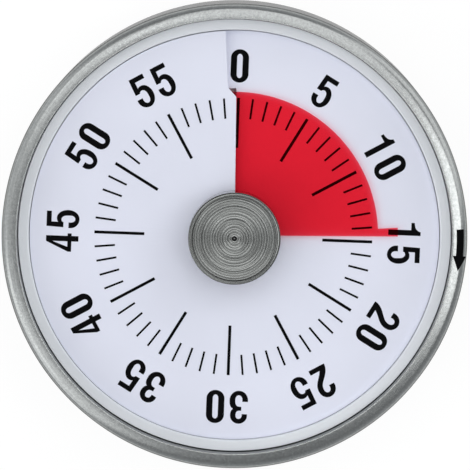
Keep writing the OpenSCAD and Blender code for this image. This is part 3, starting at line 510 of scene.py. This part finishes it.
def make_bezel():
    """Glossy ring, whose face rises from the dial to a narrow open gap.

    The rim's flange sits in the groove outside that gap.
    """
    flange_room, groove_room = 0.15 * MM, 0.3 * MM
    roll_room_w, roll_room_h = 1.6 * MM, 1.8 * MM
    shoulder_in = RIM_IN_R + CASE_WALL + flange_room
    shoulder_out = CASE_R - roll_room_w
    shoulder = RIM_TOP - CASE_WALL
    side = RIM_TOP - roll_room_h
    groove = RIM_TOP - LIP_DEPTH - groove_room
    face_out = RIM_IN_R - BEZEL_GAP
    edge = 0.3 * MM
    corner = 0.06 * MM
    outer = (face_out - corner, BEZEL_FACE + BEZEL_RISE)
    inner = (DIAL_R + edge, BEZEL_FACE)
    profile = [(DIAL_R, BEZEL_LOW), (BEZEL_OUT_R, BEZEL_LOW), (BEZEL_OUT_R, side)]
    profile += [(shoulder_out, shoulder), (shoulder_in, shoulder)]
    profile += [(shoulder_in, groove), (face_out, groove)]
    profile += arc(face_out - corner, outer[1] - corner, corner, corner, 0, 60, 5)
    # the face is a little hollow, so that its tone changes from the rim to the dial
    hollow = 0.05 * MM
    steps = 12
    for i in range(steps + 1):
        t = i / steps
        r, z = (outer[k] + (inner[k] - outer[k]) * t for k in (0, 1))
        profile.append((r, z - hollow * 4 * t * (1 - t)))
    profile += arc(DIAL_R + edge, BEZEL_FACE - edge, edge, edge, 100, 180, 8)
    piece = revolve("bezel_band", profile, RING_SIDES)
    keep_edges(piece, 35)
    piece.data.transform(Matrix.Translation(BEZEL_OFF))
    dress(piece, bezel_white)
    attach(piece, "case")
    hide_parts("bezel_ring")


def grooved(r0, z0, r1, z1, pitch, depth):
    """Points from one place to another with turned grooves, some of them a little shallower."""
    length = math.hypot(r1 - r0, z1 - z0)
    count = max(round(length / pitch), 1)
    steps = 8
    uneven, beat = 0.15, 2.4
    points = []
    for i in range(count * steps + 1):
        t = i / (count * steps)
        deep = depth * (1 - uneven + uneven * math.sin(beat * (i // steps)))
        points.append((r0 + (r1 - r0) * t, z0 + (z1 - z0) * t - deep * wave(i / steps)))
    return points


def wave(turns):
    """0 at whole turns and 1 half way between them."""
    return 0.5 - 0.5 * math.cos(2 * math.pi * turns)


def make_knob():
    """Turned cap with grooves over its face, a chamfered edge and a centre dimple."""
    dimple_low = KNOB_TOP - 0.55 * MM
    dimple_floor_r = 0.35 * KNOB_DIMPLE_R
    dimple_lip = KNOB_TOP - 0.05 * MM
    groove_deep = 0.015 * MM
    ring_w = 0.1 * MM
    ring_low = KNOB_TOP - 0.08 * MM
    land_r = KNOB_FACE_R + ring_w
    land_top = KNOB_TOP - 0.02 * MM
    land_pitch, land_deep = 0.3 * MM, 0.02 * MM
    edge = 0.12 * MM
    chamfer_low = KNOB_TOP - 0.03 * KNOB_CHAMFER
    profile = [(0.0, dimple_low), (dimple_floor_r, dimple_low)]
    profile += grooved(KNOB_DIMPLE_R, dimple_lip, KNOB_FACE_R, KNOB_TOP, KNOB_PITCH, groove_deep)
    profile += [(KNOB_FACE_R + ring_w / 2, ring_low), (land_r, land_top)]
    profile += grooved(land_r, land_top, KNOB_R - edge, chamfer_low, land_pitch, land_deep)
    profile += arc(KNOB_R - edge, chamfer_low - edge, edge, edge, 75, 0, 6)
    side_top = chamfer_low - 1.5 * edge
    foot, foot_cut = 0.2 * MM, 0.06 * MM
    side_low = KNOB_LOW + foot
    side_grooves, side_deep, side_steps = 16, 0.006 * MM, 64
    for i in range(1, side_steps + 1):
        t = i / side_steps
        r = KNOB_R - side_deep * wave(side_grooves * t)
        profile.append((r, side_top + (side_low - side_top) * t))
    profile += [(KNOB_R - foot_cut, KNOB_LOW + foot_cut), (KNOB_R - foot, KNOB_LOW)]
    inside, ceiling = KNOB_R - KNOB_WALL, KNOB_TOP - KNOB_WALL
    profile += [(inside, KNOB_LOW), (inside, ceiling), (0.0, ceiling)]
    piece = revolve("knob_cap", profile, KNOB_SIDES, closed=False)
    keep_edges(piece, 40)
    dress(piece, knob_steel)
    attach(piece, "arbor")
    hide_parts("knob")


# ---- print -----------------------------------------------------------------------------------

NUMERAL_R = 29.45 * MM
NUMERAL_H = 5.58 * MM
TICK_OUT_R = 23.95 * MM
LONG_TICK = 8.6 * MM
SHORT_TICK = 3.5 * MM
LONG_TICK_W = 0.5 * MM
SHORT_TICK_W = 0.34 * MM
INK_T = 0.02 * MM
# points of an outline nearer than this are one
SAME_PLACE = 1e-7
# the print sits a little off the dial's middle
PRINT_OFF = (-0.19 * MM, -0.27 * MM)

# the digits are drawn at this height, width and step from one digit to the next
CAP_H = 5.52
DIGIT_W = 3.09
ADVANCE = 4.02


def digit(c):
    """Outlines of a condensed bold digit that is CAP_H tall, from its lower left corner.

    The numbers in it are the digit's own drawing.
    """
    if c == "0":
        rings = ((0.01, 3.08, -0.07, 5.60, 1.50, 1.45), (1.07, 2.01, 0.70, 4.82, 0.46, 0.62))
        return [
            arc(x1 - rx, y1 - ry, rx, ry, 0, 90)
            + arc(x0 + rx, y1 - ry, rx, ry, 90, 180)
            + arc(x0 + rx, y0 + ry, rx, ry, 180, 270)
            + arc(x1 - rx, y0 + ry, rx, ry, 270, 360)
            for x0, x1, y0, y1, rx, ry in rings
        ]
    if c == "1":
        stem = [(1.30, 0), (2.24, 0), (2.24, CAP_H), (1.60, CAP_H)]
        flag = bend((1.60, CAP_H), (1.42, 4.74), (0.86, 4.50), (0.04, 4.46))
        return [stem + flag + [(0.04, 3.90), (1.30, 3.90)]]
    if c == "2":
        foot = [(0.03, 0), (2.98, 0), (2.98, 0.82), (1.28, 0.82)]
        rise = bend((1.28, 0.82), (1.45, 1.20), (1.95, 1.75), (2.35, 2.24))
        rise += bend((2.35, 2.24), (2.85, 2.85), (3.02, 3.30), (3.02, 4.02))
        bowl = arc(1.52, 4.02, 1.50, 1.56, 0, 180, 20)[1:]
        hook = [(0.02, 3.72), (0.95, 3.72), (0.95, 4.05)]
        inner = arc(1.52, 4.06, 0.57, 0.70, 180, 0, 16)
        fall = bend((2.09, 4.06), (2.09, 3.55), (1.95, 3.20), (1.62, 2.80))
        fall += bend((1.62, 2.80), (1.02, 2.12), (0.16, 1.42), (0.03, 0.30))
        return [foot + rise + bowl + hook + inner + fall]
    if c == "3":
        low_bowl = [(0.0, 1.80)] + arc(1.57, 1.55, 1.57, 1.62, 180, 360, 20)
        low_bowl += bend((3.14, 1.55), (3.14, 2.35), (3.02, 2.80), (2.52, 3.05))
        high_bowl = bend((2.52, 3.05), (2.86, 3.30), (2.98, 3.66), (2.98, 4.18))
        high_bowl += arc(1.53, 4.18, 1.45, 1.40, 0, 180, 20)[1:]
        hook = [(0.08, 3.92), (1.00, 3.92), (1.00, 4.20)]
        inner = arc(1.53, 4.20, 0.53, 0.56, 180, 0, 16)
        inner += bend((2.06, 4.18), (2.06, 3.60), (1.86, 3.34), (1.36, 3.34))
        waist = [(1.10, 3.34), (1.10, 2.66), (1.40, 2.66)]
        waist += bend((1.40, 2.66), (1.95, 2.66), (2.18, 2.30), (2.18, 1.60))
        low_inner = arc(1.57, 1.50, 0.61, 0.80, 0, -180, 16) + [(0.96, 1.80)]
        return [low_bowl + high_bowl + hook + inner + waist + low_inner]
    if c == "4":
        bar_low, bar_high = 1.18, 1.86
        outer = [(1.76, 0), (2.69, 0), (2.69, bar_low), (3.12, bar_low)]
        outer += [(3.12, bar_high), (2.69, bar_high), (2.69, CAP_H), (1.72, CAP_H)]
        outer += [(0.0, 1.78), (0.0, bar_low), (1.76, bar_low)]
        return [outer, [(1.76, 4.42), (1.76, bar_high), (0.82, bar_high)]]
    if c == "5":
        bowl = [(0.0, 1.77)] + arc(1.55, 1.45, 1.55, 1.53, 180, 270, 10)
        bowl += arc(1.55, 1.85, 1.54, 1.93, 270, 360, 10)
        bowl += arc(1.72, 1.85, 1.37, 1.93, 0, 78, 10)[1:]
        bowl += bend((2.00, 3.74), (1.62, 3.82), (1.26, 3.76), (1.02, 3.55))
        flag = [(1.05, 4.68), (2.86, 4.68), (2.86, CAP_H), (0.26, CAP_H), (0.12, 2.64)]
        inner = [(0.98, 2.64)] + bend((0.98, 2.64), (1.06, 3.16), (2.14, 3.30), (2.14, 1.92))
        inner += arc(1.55, 1.40, 0.59, 0.76, 0, -180, 16) + [(0.96, 1.77)]
        return [bowl + flag + inner]
    raise ValueError(f"no outline for {c}")


def ramp_z(x, y):
    """Height of the dial's ramp under a point, with the step at its clock angle."""
    a = math.degrees(math.atan2(x, y))
    a = (a - STEP_A) % 360 + STEP_A
    return DIAL_Z + RAMP_H * a / 360


def print_on_dial(name, outlines):
    """One piece of ink, laid on the ramp. The outlines are closed and seen from the front."""
    curve = bpy.data.curves.new(name, "CURVE")
    curve.dimensions = "2D"
    curve.fill_mode = "BOTH"
    curve.extrude = INK_T / 2
    for outline in outlines:
        kept = [p for i, p in enumerate(outline) if math.dist(p, outline[i - 1]) > SAME_PLACE]
        spline = curve.splines.new("POLY")
        spline.points.add(len(kept) - 1)
        for point, (x, y) in zip(spline.points, kept):
            point.co = (x, y, 0.0, 1.0)
        spline.use_cyclic_u = True
    drawn = add(name + "_outline", curve)
    bpy.context.view_layer.update()
    filled = drawn.evaluated_get(bpy.context.evaluated_depsgraph_get())
    mesh = bpy.data.meshes.new_from_object(filled)
    bpy.data.objects.remove(drawn)
    mesh.name = name
    for v in mesh.vertices:
        v.co.z += ramp_z(v.co.x, v.co.y) + INK_T / 2
    mesh.shade_flat()
    piece = add(name, mesh)
    dress(piece, dial_ink)
    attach(piece, "case")


def turned_point(u, v, turn):
    """Point v out along a clock angle in radians, and u to its right."""
    x = v * math.sin(turn) + u * math.cos(turn)
    y = v * math.cos(turn) - u * math.sin(turn)
    return (x + PRINT_OFF[0], y + PRINT_OFF[1])


def make_numerals():
    """0 to 55 in fives, each upright as seen from the centre."""
    outlines = []
    scale = NUMERAL_H / CAP_H
    for i in range(12):
        text = str(5 * i)
        width = ADVANCE * (len(text) - 1) + DIGIT_W
        turn = math.radians(30 * i)
        for k, c in enumerate(text):
            for outline in digit(c):
                points = []
                for x, y in outline:
                    u = (x + k * ADVANCE - width / 2) * scale
                    v = (y - CAP_H / 2) * scale + NUMERAL_R
                    points.append(turned_point(u, v, turn))
                outlines.append(points)
    print_on_dial("dial_numerals", outlines)


def make_ticks():
    """A long line every five minutes and a short one every minute."""
    outlines = []
    for i in range(60):
        long = i % 5 == 0
        inner = TICK_OUT_R - (LONG_TICK if long else SHORT_TICK)
        half = (LONG_TICK_W if long else SHORT_TICK_W) / 2
        corners = [(-half, inner), (half, inner), (half, TICK_OUT_R), (-half, TICK_OUT_R)]
        outlines.append([turned_point(u, v, math.radians(6 * i)) for u, v in corners])
    print_on_dial("dial_ticks", outlines)


def make_arrow():
    """Black arrow printed on the rim at 3 o'clock, which points the way the knob is turned."""
    centre_r = 38.75 * MM
    shaft_w, head_w = 1.25 * MM, 2.3 * MM
    start_a, neck_a, tip_a = 85.9, 92.7, 96.5
    shaft_steps, head_steps, cells_across = 24, 12, 12
    # the head starts a hair after the shaft, its tip is blunt, and the ink is sunk into the steel
    head_a, blunt, sunk = neck_a + 0.01, 0.02 * MM, 0.002 * MM
    rows = []
    for i in range(shaft_steps + 1):
        rows.append((start_a + (neck_a - start_a) * i / shaft_steps, shaft_w / 2))
    for i in range(head_steps + 1):
        t = i / head_steps
        rows.append((head_a + (tip_a - head_a) * t, head_w / 2 * (1 - t) + blunt))
    vertices, faces = [], []
    for layer in (INK_T, 0.0):
        for a, half in rows:
            for j in range(cells_across + 1):
                r = centre_r - half + 2 * half * j / cells_across
                vertices.append(tuple(at(r, a, rim_z(r) + layer - sunk)))
    across = cells_across + 1
    total = len(rows) * across
    for i in range(len(rows) - 1):
        for j in range(cells_across):
            q = i * across + j
            faces.append((q, q + 1, q + across + 1, q + across))
            faces.append((total + q, total + q + across, total + q + across + 1, total + q + 1))
        for j in (0, cells_across):
            q = i * across + j
            side = (q, q + across, total + q + across, total + q)
            faces.append(side if j == 0 else side[::-1])
    for i in (0, len(rows) - 1):
        for j in range(cells_across):
            q = i * across + j
            end = (q, total + q, total + q + 1, q + 1)
            faces.append(end if i == 0 else end[::-1])
    piece = add_mesh("rim_arrow", vertices, faces, smooth=False)
    dress(piece, arrow_ink)
    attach(piece, "case")


make_case()
make_bezel()
make_knob()
make_numerals()
make_ticks()
make_arrow()

# ---- studio ----------------------------------------------------------------------------------

FRAME_PX = 470
RIM_MM_PER_PX = 0.1715
CAMERA_FAR = 0.9
CAMERA_RIGHT = 0.0
CAMERA_UP = 4.0
CAMERA_ROLL = 2.15
# the middle of the frame lies this far from the rim's centre, to the right and up
AIM_RIGHT = 0.1 * MM
AIM_UP = 0.37 * MM

# the world's level, from the horizon to overhead, and the heights that it changes between
WORLD_LOW = 0.62
WORLD_HIGH = 0.34
WORLD_SPAN = (0.2, 0.8)
WORLD_COLOUR = (0.95, 0.97, 1.0, 1.0)

FLOOR_HALF = 3.0
FLOOR_WHITE = (0.9, 0.9, 0.9)
# share of the floor's look that is plain white, and how bright that white is
FLOOR_GLOW = 0.85
GLOW_LEVEL = 1.05

LAMP_FAR = 1.6
# name, clock angle, degrees off the axis, width and height in degrees, level of radiance
LAMPS = (
    ("strip_high", 0.0, 1.5, 18.0, 5.0, 2.9),
    ("strip_low", 180.0, 9.5, 18.0, 5.0, 2.9),
    ("key", 9.0, 25.0, 29.0, 29.0, 1.32),
    ("right", 94.0, 23.0, 18.0, 18.0, 2.8),
    ("left", 278.0, 49.0, 58.0, 58.0, 0.55),
    ("second", 308.0, 23.0, 17.0, 17.0, 1.1),
    ("low_left", 222.0, 29.0, 19.0, 19.0, 1.25),
    ("side_right", 58.0, 56.0, 44.0, 44.0, 1.0),
    ("side_left", 234.0, 54.0, 36.0, 36.0, 1.1),
)


def make_camera():
    """Looks down on the dial, a little from the 12 o'clock side, and rolled a little."""
    lean = (math.tan(math.radians(a)) for a in (CAMERA_RIGHT, CAMERA_UP))
    back = Vector((*lean, 1.0)).normalized()
    up = at(1.0, -CAMERA_ROLL)
    right = up.cross(back).normalized()
    up = back.cross(right)
    target = Vector((0.0, 0.0, RIM_TOP)) + right * AIM_RIGHT + up * AIM_UP
    turn = Matrix((right, up, back)).transposed()
    data = bpy.data.cameras.new("camera")
    camera = add("camera", data)
    camera.matrix_world = Matrix.Translation(target + back * CAMERA_FAR) @ turn.to_4x4()
    data.sensor_width = 36.0
    data.lens = data.sensor_width * CAMERA_FAR / (FRAME_PX * RIM_MM_PER_PX * MM)
    data.clip_start = 0.05
    data.clip_end = 20.0
    bpy.context.scene.camera = camera


def make_lamp(name, a, off_axis, wide, tall, level):
    """Soft lamp, placed and sized in degrees as seen from the object."""
    data = bpy.data.lights.new(name, "AREA")
    data.shape = "RECTANGLE"
    data.size, data.size_y = (2 * LAMP_FAR * math.tan(math.radians(v / 2)) for v in (wide, tall))
    data.energy = level * math.pi * data.size * data.size_y
    off = math.radians(off_axis)
    place = at(LAMP_FAR * math.sin(off), a, LAMP_FAR * math.cos(off))
    turn = place.to_track_quat("Z", "Y").to_matrix().to_4x4()
    add(name, data).matrix_world = Matrix.Translation(place) @ turn


def make_world():
    """Pale light from all round, weaker overhead."""
    world = bpy.data.worlds.new("studio")
    bpy.context.scene.world = world
    world.use_nodes = True
    nodes, links = world.node_tree.nodes, world.node_tree.links
    parts = nodes.new("ShaderNodeSeparateXYZ")
    links.new(nodes.new("ShaderNodeTexCoord").outputs["Generated"], parts.inputs[0])
    level = nodes.new("ShaderNodeMapRange")
    ends = ("From Min", "From Max", "To Min", "To Max")
    for end, value in zip(ends, (*WORLD_SPAN, WORLD_LOW, WORLD_HIGH)):
        level.inputs[end].default_value = value
    links.new(parts.outputs["Z"], level.inputs["Value"])
    sky = nodes["Background"]
    sky.inputs["Color"].default_value = WORLD_COLOUR
    links.new(level.outputs["Result"], sky.inputs["Strength"])


def make_floor():
    """White floor that keeps the object's shadow."""
    corners = [(x * FLOOR_HALF, y * FLOOR_HALF, 0) for x, y in ((-1, -1), (1, -1), (1, 1), (-1, 1))]
    floor = add_mesh("floor", corners, [(0, 1, 2, 3)])
    look = Look("floor_white", FLOOR_WHITE, 0.9)
    path = look.node("ShaderNodeLightPath").outputs
    seen = look.maths("MAXIMUM", path["Is Camera Ray"], path["Is Glossy Ray"])
    seen = look.maths("MAXIMUM", seen, path["Is Transmission Ray"])
    white = {"Color": (1.0, 1.0, 1.0, 1.0), "Strength": GLOW_LEVEL}
    glow = look.node("ShaderNodeEmission", white)
    share = look.maths("MULTIPLY", seen, FLOOR_GLOW)
    look.cover(look.bsdf.outputs[0], glow.outputs[0], share)
    dress(floor, look.mat)


make_camera()
make_world()
make_floor()
for lamp_row in LAMPS:
    make_lamp(*lamp_row)

bpy.context.scene.view_settings.view_transform = "Standard"
